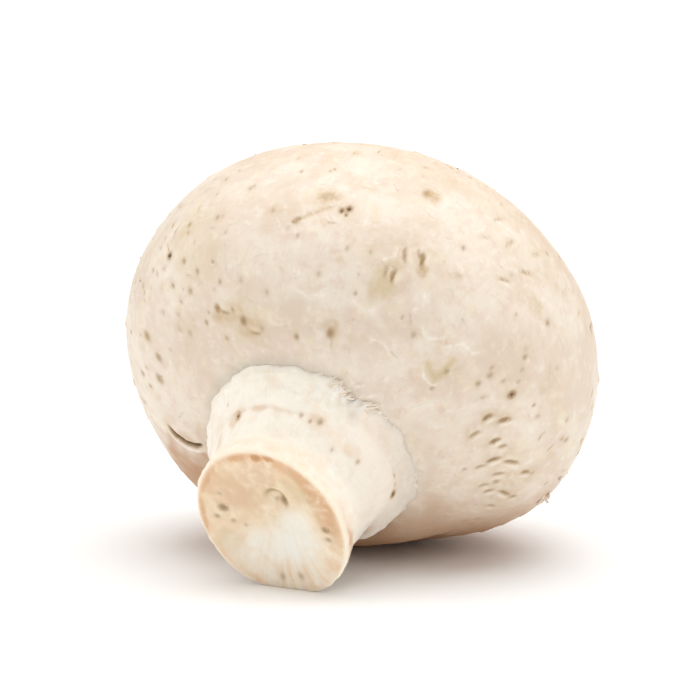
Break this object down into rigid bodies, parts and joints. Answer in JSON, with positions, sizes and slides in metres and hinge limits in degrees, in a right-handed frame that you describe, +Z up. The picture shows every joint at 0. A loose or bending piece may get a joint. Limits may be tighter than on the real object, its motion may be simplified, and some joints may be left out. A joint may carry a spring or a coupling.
{
  "type": "button mushroom",
  "caption": "Closed-cup button mushroom lying on its side: a full domed cap, a puffy veil collar and a short stem cut off aslant.",
  "frame": {"origin": "middle of the bounding box in plan, at the surface the mushroom lies on", "axes": "+Z up; the stem points along -Y and dips to the surface; +X is across the cap"},
  "size_m": [0.0522, 0.0488, 0.0455],
  "materials": {
    "mushroom_flesh": "matte creamy white skin, a little waxy"
  },
  "bodies": {
    "root": {"mushroom": "mushroom_flesh"}
  },
  "joints": []
}
